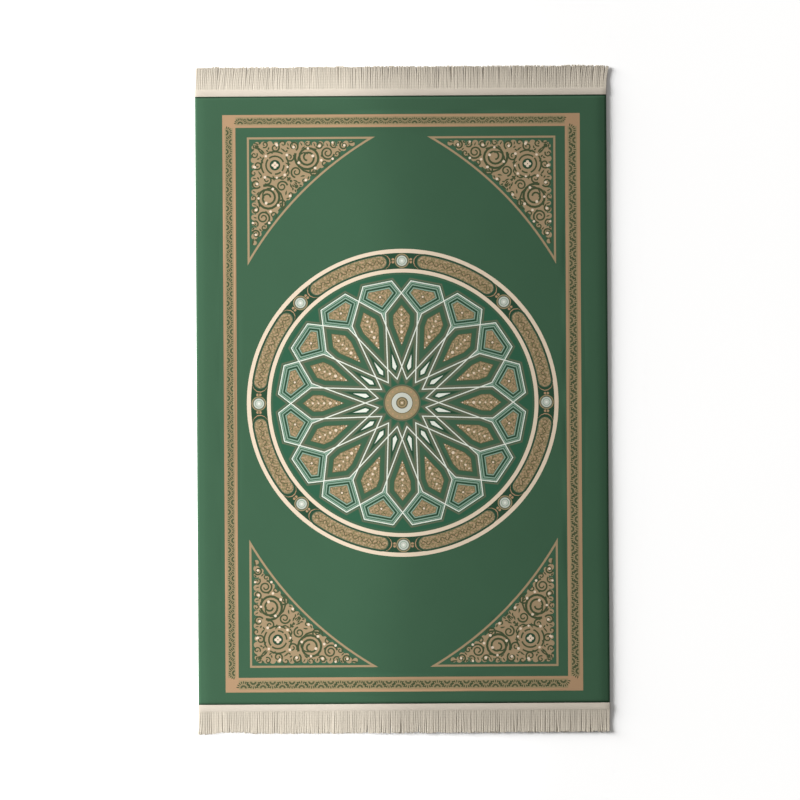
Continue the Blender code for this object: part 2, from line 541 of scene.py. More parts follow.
def draw_cartouche(cartoon):
    """One cartouche at the head end, filled with a scrolling stem."""
    for half_width, cap, yarn in CAPSULES:
        cartoon.draw(capsule(CAPSULE_SPAN, half_width, cap), yarn)
    steps, bays = 48, 8
    sixteenth = 360 / FOLD
    stem = []
    for k in range(steps + 1):
        share = 2 * k / steps - 1
        radius = BAND_MIDDLE + STEM_SWAY * math.sin(math.pi * bays * share)
        stem.append(polar(radius, share * STEM_SPAN / sixteenth))
    cartoon.draw(stroke(stem, 1.7), "umber")
    for bay in range(-bays, bays):
        side = 1 if bay % 2 else -1
        angle = (bay + 0.5) * STEM_SPAN / bays
        middle = polar(BAND_MIDDLE - side * 1.2, angle / sixteenth)
        curl = spiral(middle, STEM_SWAY, 90 * side - angle, -300 * side, 1.5, 0.3, 40)
        cartoon.draw(curl, "umber")
        draw_dot(cartoon, middle, 1.3, "tan", sides=6)
        outer = polar(BAND_MIDDLE + side * 7.6, angle / sixteenth)
        draw_dot(cartoon, outer, 1.5, "tan", sides=6)


def draw_pearl(cartoon):
    """One pearl at the head end, with its rings and the knots that tie it to the cartouches."""
    middle = polar(BAND_MIDDLE)
    for radius, yarn in (
        (14.2, "sand"), (12.4, "drab"), (10.2, "pearl"), (7.6, "sage"), (6.2, "pearl"),
    ):
        cartoon.draw(circle(middle, radius, 20), yarn)
    cartoon.draw(circle(middle, 2.4, 10), "white")
    for side in (-1, 1):
        for rise in (-2.6, 2.6):
            draw_dot(cartoon, middle + Vector((side * 17.4, rise)), 2.7, "tan")
        draw_dot(cartoon, middle + Vector((side * 17.4, 0.0)), 1.6, "umber", sides=6)


def draw_band(cartoon):
    """The two cream rings, and the cartouches and pearls between them."""
    sides = 160
    for radius, yarn in (
        (RING_OUTER, "cream"),
        (RING_OUTER - OUTER_RING_WIDTH, "deep green"),
    ):
        cartoon.draw(circle((0, 0), radius, sides), yarn)
    mark = cartoon.top
    draw_cartouche(cartoon)
    cartoon.place(mark, Matrix.Rotation(-math.pi / PEARLS, 4, "Z"))
    draw_pearl(cartoon)
    cartoon.turn(mark, PEARLS)
    ground = RING_INNER - RING_WIDTH
    for radius, yarn in ((RING_INNER, "cream"), (ground, "green"), (ground - GREEN_RIM, "jade")):
        cartoon.draw(circle((0, 0), radius, sides), yarn)


def crossing(a, b, c, d):
    """Where the line through a and b meets the line through c and d."""
    first, second = b - a, d - c
    return a + first * ((c - a).cross(second) / first.cross(second))


def strap_points():
    """The rosette's bends and crossings on the right of the head end's axis."""
    corner_r, corner_at = STRAP_CORNER
    bend_r, bend_at = STRAP_BEND
    tip_r, tip_at = STRAP_TIP
    left_corner = polar(corner_r, -corner_at)
    bend, far_bend = polar(bend_r, bend_at), polar(bend_r, 1 - bend_at)
    middle = Vector((0.0, 0.0))
    return {
        "corner": polar(corner_r, corner_at),
        "far corner": polar(corner_r, 1 - corner_at),
        "top": crossing(left_corner, bend, middle, polar(1.0)),
        "far top": crossing(left_corner, bend, middle, polar(1.0)).length,
        "bend": bend,
        "far bend": far_bend,
        "waist": crossing(bend, polar(tip_r, 1 + tip_at), middle, polar(1.0, 0.5)),
        "foot": polar(crossing(bend, polar(tip_r, 1 + tip_at), middle, polar(1.0, 1.0)).length),
        "tip": polar(tip_r, tip_at),
    }


def draw_petal(cartoon, at):
    """The long petal on the head end's axis."""
    right = [at["bend"], at["waist"]]
    left = [Vector((-point.x, point.y)) for point in right]
    outline = [at["top"]] + right + [at["foot"]] + left[::-1]
    for depth, yarn in (
        (STRAP_HALF, "drab"), (5.8, "green"), (14.2, "umber"), (15.4, "flecked"),
    ):
        cartoon.draw(inset(outline, depth), yarn)

    # The fill: a spine of buds, with leaves and small rings on both sides.
    mark = cartoon.top
    for rise, reach, lift in (
        (124, 4.0, 5.0), (136, 7.0, 6.0), (148, 9.5, 7.0), (160, 11.0, 8.0), (172, 9.0, 7.0),
    ):
        root = Vector((2.0, rise))
        cartoon.draw(leaf(root, root + Vector((reach, lift)), 1.9, 0.25), "umber")
        draw_dot(cartoon, (reach * 0.62, rise - 1.5), 1.2, "tan", sides=6)
        draw_dot(cartoon, (reach * 0.92, rise + lift * 0.4), 1.0, "tan", sides=6)
    cartoon.mirror(mark, "X")
    for rise, radius in (
        (118, 1.4), (128, 1.8), (140, 3.0), (152, 2.3), (163, 1.8), (174, 2.2), (184, 1.5),
    ):
        draw_dot(cartoon, (0.0, rise), radius, "cream", sides=8)


def draw_pentagon(cartoon, at):
    """The pentagon between two petals, half a step to the right of the head end's axis."""
    far_top = polar(at["far top"], 1.0)
    below = crossing(at["top"], at["bend"], Vector((0.0, 0.0)), polar(1.0, 0.5))
    outline = [at["corner"], at["far corner"], far_top, below, at["top"]]
    whole = [at["corner"], at["far corner"], far_top, at["far bend"], at["waist"], at["bend"], at["top"]]
    cartoon.draw(inset(whole, STRAP_HALF), "jade")
    cartoon.draw(inset(whole, 1.8), "sage")
    for depth, yarn in (
        (3.8, "green"), (5.6, "sage"), (8.0, "deep green"), (11.6, "sage"), (13.8, "umber"),
        (14.8, "flecked"),
    ):
        cartoon.draw(inset(outline, depth), yarn)

    # The fill: one cream bud with a ring of small ones.
    mark = cartoon.top
    for rise, radius in ((-7.5, 1.2), (9.5, 1.4)):
        draw_dot(cartoon, (0.0, rise), radius, "tan", "umber", 6)
    side = cartoon.top
    for rise, aside, radius in (
        (1.0, 6.0, 1.1), (9.0, 8.0, 1.3), (4.5, 14.0, 1.2), (-3.5, 9.0, 1.1), (10.5, 15.0, 1.0),
        (-11.0, 4.0, 1.0),
    ):
        draw_dot(cartoon, (aside, rise), radius, "tan", sides=6)
    cartoon.draw(leaf(Vector((3.0, -3.0)), Vector((8.0, -9.0)), 2.4, 0.2), "umber")
    cartoon.draw(leaf(Vector((4.0, 4.0)), Vector((11.0, 8.0)), 2.2, 0.2), "umber")
    cartoon.mirror(side, "X")
    draw_dot(cartoon, (0.0, -1.0), 2.2, "cream", "umber")
    outward = Matrix.Translation((0.0, PENTAGON_MIDDLE, 0.0))
    cartoon.place(mark, Matrix.Rotation(-math.pi / FOLD, 4, "Z") @ outward)


def draw_kite(cartoon, at):
    """The white kite between the feet of two petals, half a step to the right."""
    far_foot = polar(at["foot"].length, 1.0)
    outline = [at["waist"], far_foot, at["tip"], at["foot"]]
    for depth, yarn in ((STRAP_HALF, "drab"), (5.4, "green"), (6.8, "deep green"), (9.4, "white")):
        cartoon.draw(inset(outline, depth), yarn)


def draw_rosette(cartoon):
    """The strapwork: its white line is what shows between the fields, each drawn a little smaller."""
    at = strap_points()
    silhouette, star = [], []
    for step in range(FOLD):
        for radius, place in ((at["top"].length, 0.0), (STRAP_CORNER[0], STRAP_CORNER[1]),
                              (STRAP_CORNER[0], 1 - STRAP_CORNER[1])):
            silhouette.append(polar(radius, step + place))
        star += [polar(at["foot"].length, step), polar(STRAP_TIP[0], step + 0.5)]
    start = cartoon.top
    for depth, yarn in ((-6.4, "green"), (-5.2, "drab"), (-2.8, "green"), (-STRAP_HALF, "white")):
        cartoon.draw(inset(silhouette, depth), yarn)
    for depth, yarn in ((STRAP_HALF, "drab"), (5.4, "green"), (7.6, "jade")):
        cartoon.draw(inset(star, depth), yarn)
    mark = cartoon.top
    draw_petal(cartoon, at)
    draw_pentagon(cartoon, at)
    draw_kite(cartoon, at)
    cartoon.turn(mark, FOLD)
    draw_boss(cartoon)
    shift = Matrix.Translation((ROSETTE_SHIFT, 0.0, 0.0))
    cartoon.place(start, shift @ Matrix.Diagonal((1.0, ROSETTE_SQUASH, 1.0, 1.0)))


def draw_boss(cartoon):
    """The round boss in the rosette's middle."""
    for radius, yarn, sides in (
        # radius, yarn, sides
        (36.4, "drab", 48),
        (34.4, "umber", 48),
        (33.0, "sand", 48),
        (21.4, "umber", 32),
        (20.2, "pearl", 32),
        (11.6, "umber", 24),
        (9.4, "sand", 20),
        (6.4, "umber", 16),
        (4.6, "sand", 12),
        (1.9, "cream", 8),
    ):
        cartoon.draw(circle((0, 0), radius, sides), yarn)
    mark = cartoon.top
    draw_dot(cartoon, (0.0, 28.0), 1.9, "tan")
    cartoon.turn(mark, BEADS)


def draw_cartoon(low, high):
    """The whole drawing, over a cloth whose two corners are given in the cartoon's frame."""
    cartoon = Cartoon()
    # The cloth is laid in deep green under the green ground, so that a strip of it shows beside each tape
    # as painted shade.
    cartoon.draw(rectangle(low, high), "deep green")
    foot = low + Vector((0.0, BARE_END / MM + SEAM_SHADE_FOOT))
    head = high - Vector((0.0, BARE_END / MM + SEAM_SHADE_HEAD))
    cartoon.draw(rectangle(foot, head), "green")
    draw_border(cartoon)
    draw_spandrels(cartoon)
    mark = cartoon.top
    draw_band(cartoon)
    cartoon.place(mark, Matrix.Diagonal((1.0, BAND_SQUASH, 1.0, 1.0)))
    draw_rosette(cartoon)
    return cartoon


def outlines_of(cartoon):
    """The outlines from the lowest layer to the highest, anticlockwise, and their yarns."""
    faces = sorted(cartoon.bm.faces, key=lambda face: face[cartoon.layer])
    found = []
    for face in faces:
        corners = [vert.co.xy for vert in face.verts]
        found.append((corners if signed_area(corners) > 0 else corners[::-1], face.material_index))
    return found


# ---------------------------------------------------------------- colours and materials


def linear(code):
    """An sRGB hex colour as linear red, green and blue."""
    shares = (int(code[k : k + 2], 16) / 255 for k in (1, 3, 5))
    return tuple(s / 12.92 if s <= 0.04045 else ((s + 0.055) / 1.055) ** 2.4 for s in shares)


YARN_COLOURS = {
    "green": "#34523D",
    "deep green": "#223E2C",
    "jade": "#27503B",
    "moss": "#38432C",
    "tan": "#997D60",
    "fawn": "#8E7B5F",
    "sand": "#87785A",
    "umber": "#575038",
    "drab": "#525947",
    "cream": "#C5B5A0",
    "sage": "#738C7C",
    "white": "#C4C9BE",
    "pearl": "#AAADA3",
    "flecked": "#817255",
    "backing": "#8C8166",
}

# What a flecked field is spun from, from the darkest fleck to the palest: the place of each tone in
# the noise that mixes them, and its colour.
FLECKS = ((0.36, "#686244"), (0.47, "#7A6F50"), (0.55, "#8C765A"), (0.66, "#9C886C"))
FLECK_SIZE = 0.0038


def add_node(tree, kind, inputs=None, **settings):
    """Adds a node. Each of its inputs is a value, or the other node's socket that links to it."""
    node = tree.nodes.new(kind)
    for name, value in settings.items():
        setattr(node, name, value)
    for name, value in (inputs or {}).items():
        if isinstance(value, bpy.types.NodeSocket):
            tree.links.new(value, node.inputs[name])
        else:
            node.inputs[name].default_value = value
    return node


def new_material(name, roughness, sheen=0.0):
    """A matt fibre: a material, its node tree, its shader and its Object coordinates."""
    material = bpy.data.materials.new(name)
    material.use_nodes = True
    tree = material.node_tree
    shader = tree.nodes["Principled BSDF"]
    shader.inputs["Roughness"].default_value = roughness
    shader.inputs["Sheen Weight"].default_value = sheen
    shader.inputs["Sheen Roughness"].default_value = 0.6
    shader.inputs["Specular IOR Level"].default_value = 0.12
    place = add_node(tree, "ShaderNodeTexCoord").outputs["Object"]
    return material, tree, shader, place


def toned(tree, colour, share, low, high):
    """A colour times a factor that goes from low to high as the share socket goes from 0 to 1."""
    factor = add_node(tree, "ShaderNodeMapRange", {"Value": share, "To Min": low, "To Max": high})
    return add_node(
        tree, "ShaderNodeVectorMath", {0: colour, "Scale": factor.outputs["Result"]}, operation="SCALE"
    ).outputs["Vector"]


def clouded(tree, colour, place, size, depth):
    """A colour made lighter and darker by up to this share, in clouds this many metres across."""
    cloud = add_node(
        tree, "ShaderNodeTexNoise",
        {"Vector": place, "Scale": 1.0 / size, "Detail": 2.0, "Roughness": 0.5},
    )
    return toned(tree, colour, cloud.outputs["Fac"], 1.0 - depth, 1.0 + depth)


BAND_TURN = 0.314  # a Wave texture's Scale, times the spacing of its bands


def woven(tree, place, picks, ends):
    """The knuckles of a plain weave, from 0 to 1. Each set has its pitch in metres and its wobble."""
    bands = [
        add_node(
            tree, "ShaderNodeTexWave",
            {"Vector": place, "Scale": BAND_TURN / pitch, "Distortion": wobble, "Detail": 1.0},
            wave_type="BANDS", bands_direction=direction,
        ).outputs["Fac"]
        for (pitch, wobble), direction in ((picks, "Y"), (ends, "X"))
    ]
    return add_node(
        tree, "ShaderNodeMath", {0: bands[0], 1: bands[1]}, operation="MULTIPLY"
    ).outputs["Value"]


def finish(tree, shader, colour, height, distance, strength):
    """Gives the shader its colour, and a relief from a height socket, this many metres deep."""
    tree.links.new(colour, shader.inputs["Base Color"])
    bump = add_node(
        tree, "ShaderNodeBump", {"Height": height, "Distance": distance, "Strength": strength}
    )
    tree.links.new(bump.outputs["Normal"], shader.inputs["Normal"])


def pile_material(settings):
    """Heat-set polyester pile, machine woven and sheared level: matt, with a faint nap.

    The tufts are about 1.3 mm across, which gives a fine grain. Broad pale and dark clouds are painted
    shading:
    they stand for the light caught by a nap that leans a little more here and less there. Each yarn comes
    from the weave, and a flecked one, whose alpha is 0, is spun from four tones in flecks of 3 to 4 mm.
    """
    material, tree, shader, place = new_material("cut polyester pile", 0.95, 0.01)
    yarn = add_node(tree, "ShaderNodeAttribute", attribute_name="yarn")
    fleck = add_node(
        tree, "ShaderNodeTexNoise",
        {"Vector": place, "Scale": 1.0 / FLECK_SIZE, "Detail": 1.0, "Roughness": 0.5},
    )
    flecks = add_node(tree, "ShaderNodeValToRGB", {"Fac": fleck.outputs["Fac"]})
    ramp = flecks.color_ramp
    for share, code in FLECKS:
        stop = ramp.elements.new(share)
        stop.color = (*linear(code), 1.0)
    ramp.elements.remove(ramp.elements[0])
    ramp.elements.remove(ramp.elements[-1])
    mixed = add_node(
        tree, "ShaderNodeMix",
        {0: yarn.outputs["Alpha"], 6: flecks.outputs["Color"], 7: yarn.outputs["Color"]},
        data_type="RGBA",
    )
    tuft = add_node(
        tree, "ShaderNodeTexNoise",
        {"Vector": place, "Scale": 1.0 / settings.tuft, "Detail": 3.0, "Roughness": 0.6},
    ).outputs["Fac"]
    colour = toned(tree, mixed.outputs[2], tuft, 1.0 - settings.grain, 1.0 + settings.grain)
    # Painted shading of the nap: broad clouds, 6 cm across, lighter and darker by up to 3 percent.
    colour = clouded(tree, colour, place, 0.06, 0.03)
    finish(tree, shader, colour, tuft, 0.0003, 0.6)
    return material


def backing_material(settings):
    """The rug's back: polypropylene and jute ground weave, with latex pressed into it.

    The pattern shows through it only faintly, so it is left plain: rows of picks 2 mm apart.
    """
    material, tree, shader, place = new_material("latexed ground weave", 0.85)
    weave_marks = woven(tree, place, picks=(0.002, 1.5), ends=(0.0028, 1.0))
    colour = toned(tree, settings.backing, weave_marks, 0.78, 1.12)
    colour = clouded(tree, colour, place, 0.03, 0.08)
    finish(tree, shader, colour, weave_marks, 0.0006, 0.6)
    return material


def tape_material(settings):
    """Plain woven cotton tape, 0.7 mm threads, unbleached: soft, with a fine rib across it."""
    material, tree, shader, place = new_material("woven cotton tape", 0.92, 0.01)
    rib = woven(tree, place, picks=(0.0011, 1.2), ends=(0.0014, 1.2))
    colour = toned(tree, settings.colour, rib, 0.95, 1.03)
    colour = clouded(tree, colour, place, 0.02, 0.03)
    finish(tree, shader, colour, rib, 0.0003, 0.5)
    return material


def strand_material(settings):
    """Twisted two-ply cotton, unbleached: each strand has its own tone and a slanting twist."""
    material, tree, shader, _ = new_material("twisted cotton strands", 0.95, 0.01)
    tone = add_node(tree, "ShaderNodeAttribute", attribute_name="tone").outputs["Fac"]
    along = add_node(tree, "ShaderNodeUVMap", uv_map="strand").outputs["UV"]
    twist = add_node(
        tree, "ShaderNodeTexWave",
        {"Vector": along, "Scale": BAND_TURN, "Distortion": 0.6, "Detail": 1.0},
        wave_type="BANDS", bands_direction="DIAGONAL",
    ).outputs["Fac"]
    colour = add_node(
        tree, "ShaderNodeVectorMath", {0: settings.colour, "Scale": tone}, operation="SCALE"
    ).outputs["Vector"]
    colour = toned(tree, colour, twist, 0.95, 1.02)
    finish(tree, shader, colour, twist, 0.0001, 0.4)
    return material


def floor_material(settings):
    """Matt painted floor, so pale that the light bleaches it: plain, with nothing to see on it."""
    material, tree, shader, place = new_material("matt white floor", 0.95)
    colour = clouded(tree, settings.floor_colour, place, 0.4, 0.005)
    tree.links.new(colour, shader.inputs["Base Color"])
    return material


# ---------------------------------------------------------------- pieces


def new_piece(name, bm, materials):
    """A finished piece at the origin, smooth but for its sharp edges."""
    mesh = bpy.data.meshes.new(name)
    bm.to_mesh(mesh)
    bm.free()
    for material in materials:
        mesh.materials.append(material)
    mesh.shade_smooth()
    mesh.set_sharp_from_angle(angle=math.radians(50))
    piece = bpy.data.objects.new(name, mesh)
    bpy.context.scene.collection.objects.link(piece)
    return piece


# The cloth's section, as the CAD model has it.
PILE_HEIGHT = 0.0080
SELVEDGE_HEIGHT = 0.0030
SHOULDER = 0.0060
CROWN = 0.0014
CROWN_REACH = 0.018
BARE_END = 0.0060
PILE_WAVES = (
    # height, wavelength along X, wavelength along Y
    (0.00035, 0.62, 0.90),
    (0.00022, 0.34, 0.41),
    (0.00012, 0.17, 0.23),
)
CENTRE_SHIFT = Vector((0.0005, -0.0060))  # the medallion's middle, from the cloth's


class Cloth:
    """The cloth's sizes, from the CAD node's box."""

    def __init__(self):
        low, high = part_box("rug")
        self.half_width = high.x
        self.half_length = high.y
        self.pile_half = high.y - BARE_END

    def rounding(self, distance, crown=0.0):
        """Share of the pile's rise, from 0 at the cloth's edge to 1 well inside it."""
        inward = min(max(distance / SHOULDER, 0.0), 1.0)
        quarter = math.sqrt(1.0 - (1.0 - inward) ** 2)
        share = crown / (PILE_HEIGHT - SELVEDGE_HEIGHT)
        reach = min(max(distance - SHOULDER, 0.0) / CROWN_REACH, 1.0)
        return quarter * (1.0 - share * (1.0 - reach) ** 2)

    def height(self, x, y):
        """Height of the pile, with the soft waves left in it, or of the bare end."""
        wave = 0.0
        for number, (size, along_x, along_y) in enumerate(PILE_WAVES):
            swing = math.cos(math.tau * (x / along_x + 0.3 * number)) * math.cos(math.tau * y / along_y)
            wave += size * (swing - 1.0) / 2.0
        share = self.rounding(self.half_width - abs(x), CROWN) * self.rounding(self.pile_half - abs(y))
        return SELVEDGE_HEIGHT + (PILE_HEIGHT - SELVEDGE_HEIGHT + wave) * share


EDGE_ROWS = (0.0, 0.25, 0.7, 1.4, 2.4, 3.8, 5.4, 7.6, 10.5, 14.0, 18.0, 24.0)  # mm in from an edge
LATTICE = 10.0


def stations(half):
    """Places across the cloth in mm: close together at both edges, even between."""
    inner = half - EDGE_ROWS[-1]
    count = round(2 * inner / LATTICE)
    even = [inner * (2 * k / count - 1) for k in range(1, count)]
    edge = [half - row for row in EDGE_ROWS]
    return sorted([-x for x in edge] + even + edge)


def weave(cloth):
    """The cloth's mesh, cut along the cartoon's outlines, each face with the yarn that shows there.

    Returns the mesh, open below, with its faces' yarns in material_index.
    """
    half = Vector((cloth.half_width, cloth.half_length)) / MM
    centre = CENTRE_SHIFT / MM
    cartoon = draw_cartoon(-half - centre, half - centre)
    outlines = outlines_of(cartoon)
    cartoon.bm.free()
    points, loops = [], []
    for corners, _ in outlines:
        loops.append(list(range(len(points), len(points) + len(corners))))
        points += corners
    pile_half = cloth.pile_half / MM
    rows = [-half.y] + stations(pile_half) + [half.y]
    for y in rows:
        points += [Vector((x, y)) - centre for x in stations(half.x)]
    found, _, faces, _, _, sources = delaunay_2d_cdt(points, [], loops, 1, 1e-4, True)

    bm = bmesh.new()
    verts = []
    for point in found:
        x, y = (point + centre) * MM
        verts.append(bm.verts.new((x, y, cloth.height(x, y))))
    for corners, inside in zip(faces, sources):
        face = bm.faces.new([verts[k] for k in corners])
        face.material_index = outlines[max(inside)][1]
    return bm


def close_below(bm):
    """Drops the open mesh's rim to the floor and closes it there. Returns the sides and the bottom."""
    rim = [edge for edge in bm.edges if edge.is_boundary]
    dropped = bmesh.ops.extrude_edge_only(bm, edges=rim)["geom"]
    for item in dropped:
        if isinstance(item, bmesh.types.BMVert):
            item.co.z = 0.0
    sides = [item for item in dropped if isinstance(item, bmesh.types.BMFace)]
    foot = [edge for edge in bm.edges if edge.is_boundary]
    bottom = bmesh.ops.triangle_fill(bm, use_beauty=True, use_dissolve=False, edges=foot)["geom"]
    bottom = [item for item in bottom if isinstance(item, bmesh.types.BMFace)]
    return sides, bottom


def chart_place(cloth, x, y, below=False):
    """Where a point lies on the chart: the top fills its left, the underside a strip on its right."""
    left, span = (0.85, 0.13) if below else (0.02, 0.80)
    along = y / (2 * cloth.half_length) + 0.5
    return (left + span * (x / (2 * cloth.half_width) + 0.5), 0.02 + 0.96 * along)


def build_rug(settings):
    """The pile cloth: its pattern in yarns on top, green sides, and a plain back."""
    cloth = Cloth()
    bm = weave(cloth)
    top = bm.faces[:]
    sides, bottom = close_below(bm)
    bmesh.ops.recalc_face_normals(bm, faces=bm.faces[:])

    colours = [(*linear(YARN_COLOURS[name]), 0.0 if name == "flecked" else 1.0) for name in YARNS]
    yarn = bm.loops.layers.float_color.new("yarn")
    chart = bm.loops.layers.uv.new("OFBake")
    for face in top:
        colour = colours[face.material_index]
        face.material_index = 0
        for loop in face.loops:
            x, y, _ = loop.vert.co
            loop[yarn] = colour
            loop[chart].uv = chart_place(cloth, x, y)
    green = colours[YARNS.index("green")]
    for face in sides:
        across = abs(face.normal.x) > 0.5
        for loop in face.loops:
            x, y, z = loop.vert.co
            drop = (SELVEDGE_HEIGHT - z) * (1 if (x if across else y) > 0 else -1)
            x, y = (x + drop, y) if across else (x, y + drop)
            loop[yarn] = green
            loop[chart].uv = chart_place(cloth, x, y)
    for face in bottom:
        face.material_index = 1
        for loop in face.loops:
            x, y, _ = loop.vert.co
            loop[yarn] = colours[YARNS.index("backing")]
            loop[chart].uv = chart_place(cloth, x, y, below=True)

    rug = new_piece("pile_cloth", bm, [pile_material(settings), backing_material(settings)])
    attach(rug, "root")
    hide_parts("rug")
    return rug


TAPE_ROUND = 0.0007
TAPE_CUTS = 80


def build_tape(end, material):
    """A woven band with soft edges."""
    low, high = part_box(f"tape_{end}")
    bm = bmesh.new()
    bmesh.ops.create_cube(bm, size=1.0)
    bmesh.ops.scale(bm, vec=high - low, verts=bm.verts[:])
    bmesh.ops.bevel(
        bm, geom=bm.edges[:], offset=TAPE_ROUND, segments=3, profile=0.5, affect="EDGES", material=-1
    )
    long_edges = [edge for edge in bm.edges if edge.calc_length() > (high.x - low.x) / 2]
    bmesh.ops.subdivide_edges(bm, edges=long_edges, cuts=TAPE_CUTS, use_grid_fill=True)
    bmesh.ops.translate(bm, vec=(low + high) / 2, verts=bm.verts[:])
    bmesh.ops.recalc_face_normals(bm, faces=bm.faces[:])
    tape = new_piece(f"heading_tape_{end}", bm, [material])
    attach(tape, "root")
    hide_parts(f"tape_{end}")
    return tape


STRAND_CUTS = 7
STRAND_ROWS = (
    # height of the strand's middle at its tip and at its root, and how much of it is cut off, in mm
    (1.5, 3.2, 0.0),
    (2.9, 4.7, 0.8),
)
TIP_CURL = 0.0015  # how far the last of each strand curls up off the floor
ROOT_TUCK = 0.0016  # how far its root lies under the tape
TWIST_PITCH = 0.0028  # along a strand, from one turn of its twist to the next

# How unlike the locks and their strands are: sideways at the tips, and in length.
LOCK_LEAN = 0.0012
LOCK_TRIM = 0.0014
LOCK_PINCH = 0.09  # how much closer a lock's strands stand at their tips
STRAND_LEAN = 0.0004
STRAND_BOW = 0.0005
STRAND_TRIM = 0.0022

# How a fringe's tips lean sideways along it, and how much shorter they are there, in mm.
FRINGE_SHAPES = {
    "head": (
        # place from -1 at the left end to 1 at the right, lean, cut
        (-1.0, 1.0, 0.0),
        (-0.93, 4.0, 0.0),
        (-0.60, 2.5, 0.6),
        (-0.30, 0.5, 0.0),
        (0.50, 0.0, 0.3),
        (0.85, 2.0, 0.0),
        (1.00, 5.0, 1.0),
    ),
    "foot": (
        (-1.0, -2.5, -0.4),
        (-0.94, 0.0, 0.0),
        (-0.90, 0.5, 3.0),
        (-0.78, 0.5, 3.0),
        (-0.72, 0.0, 0.8),
        (0.20, -0.5, 0.5),
        (1.00, 0.8, 0.9),
    ),
}


def fringe_shape(end, place):
    """The lean and the cut at this place along a fringe, in metres."""
    rows = FRINGE_SHAPES[end]
    for (start, *low), (stop, *high) in zip(rows, rows[1:]):
        if place <= stop:
            share = (place - start) / (stop - start)
            return [(a + (b - a) * share) * MM for a, b in zip(low, high)]
    return [value * MM for value in rows[-1][1:]]


def base_strand(bm, twist_pitch):
    """One straight strand of unit length along +Z, flat as a pressed one is, with a map of its twist."""
    bmesh.ops.create_cone(bm, cap_ends=True, segments=8, radius1=0.54, radius2=0.42, depth=1.0)
    long_edges = [e for e in bm.edges if abs(e.verts[0].co.z - e.verts[1].co.z) > 0.5]
    bmesh.ops.subdivide_edges(bm, edges=long_edges, cuts=STRAND_CUTS)
    bmesh.ops.translate(bm, vec=(0.0, 0.0, 0.5), verts=bm.verts[:])
    uv = bm.loops.layers.uv.new("strand")
    for face in bm.faces:
        middle = face.calc_center_median()
        facing = math.atan2(middle.y, middle.x)
        for loop in face.loops:
            x, y, z = loop.vert.co
            turn = math.remainder(math.atan2(y, x) - facing, math.tau) + facing
            loop[uv].uv = (turn / math.tau, z / twist_pitch)
    for vert in bm.verts:
        vert.co.y = min(max(vert.co.y, -0.26), 0.26) * 0.72


def strand_routes(end, width, settings, chance):
    """Yields each strand's place and sway: locks of a few strands lean together, each a little apart."""
    pitch = width / settings.strands
    for row, (tip_height, root_height, short) in enumerate(STRAND_ROWS):
        number = 0
        while number < settings.strands:
            size = min(chance.randint(2, 5), settings.strands - number)
            lock_lean = chance.uniform(-LOCK_LEAN, LOCK_LEAN)
            lock_tone = chance.uniform(0.95, 1.03)
            lock_cut = chance.uniform(0.0, LOCK_TRIM)
            for member in range(size):
                x = pitch * (number + member + 0.5) - width / 2 + chance.uniform(-0.12, 0.12) * pitch
                x += pitch * (0.5 * row - 0.25)
                lean, cut = fringe_shape(end, 2 * x / width)
                inward = ((size - 1) / 2 - member) * pitch * LOCK_PINCH
                thick = settings.strand * chance.uniform(0.92, 1.08)
                yield {
                    "x": math.copysign(min(abs(x), (width - thick) / 2), x),
                    "lean": lean + lock_lean + inward + chance.uniform(-STRAND_LEAN, STRAND_LEAN),
                    "bow": chance.uniform(-STRAND_BOW, STRAND_BOW),
                    "cut": short * MM + cut + lock_cut + STRAND_TRIM * chance.random() ** 1.6,
                    "thick": thick,
                    "tone": lock_tone * chance.uniform(0.96, 1.04),
                    "tip": tip_height * MM + chance.uniform(-0.0002, 0.0002),
                    "root": root_height * MM,
                }
            number += size


def build_fringe(end, settings, material):
    """The fringe: two rows of flat strands that come out from under the tape, in loose locks."""
    low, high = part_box(f"fringe_{end}")
    side = 1 if end == "head" else -1
    tape_low, tape_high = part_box(f"tape_{end}")
    root = tape_high.y - ROOT_TUCK if side > 0 else tape_low.y + ROOT_TUCK
    reach = abs((high.y if side > 0 else low.y) - root)
    chance = random.Random(5 if end == "head" else 9)
    bm = bmesh.new()
    tone = bm.verts.layers.float.new("tone")
    base_strand(bm, TWIST_PITCH / reach)
    base = bm.verts[:] + bm.edges[:] + bm.faces[:]
    for route in strand_routes(end, high.x - low.x, settings, chance):
        copy = bmesh.ops.duplicate(bm, geom=base)["geom"]
        length = reach - route["cut"]
        thick = route["thick"]
        for vert in copy:
            if not isinstance(vert, bmesh.types.BMVert):
                continue
            across, up, share = vert.co
            sway = route["lean"] * share**1.5 + route["bow"] * math.sin(math.pi * share)
            lift = route["tip"] + (route["root"] - route["tip"]) * (1.0 - share) ** 2
            lift += TIP_CURL * share**4
            vert[tone] = route["tone"]
            vert.co = Vector((
                route["x"] + across * thick + sway, root + side * length * share, lift + up * thick
            ))
    bmesh.ops.delete(bm, geom=[item for item in base if isinstance(item, bmesh.types.BMVert)])
    bmesh.ops.recalc_face_normals(bm, faces=bm.faces[:])
    fringe = new_piece(f"strands_{end}", bm, [material])
    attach(fringe, "root")
    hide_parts(f"fringe_{end}")
    return fringe


# ---------------------------------------------------------------- stage


FLOOR_HALF = 20.0
KEY_WAY = (0.92, -0.38)  # the way the key light travels over the floor

# The washes are far spots whose soft edges run across the rug, so that its left half is brighter.
WASH_HEIGHT = 14.0
WASH_RADIUS = 3.6
WASHES = (
    # name, share of the power, x of its edge, and the edge's softness
    ("near wash", 0.57, -0.005, 0.16),
    ("wide wash", 0.43, 0.15, 0.50),
)

CAMERA_HEIGHT = 6.0
CAMERA_PLACE = (-0.0047, -0.0005)
CAMERA_ROLL = -0.35  # degrees
VIEW_WIDTH = 1.5608  # what the view takes in, at the height of the pile


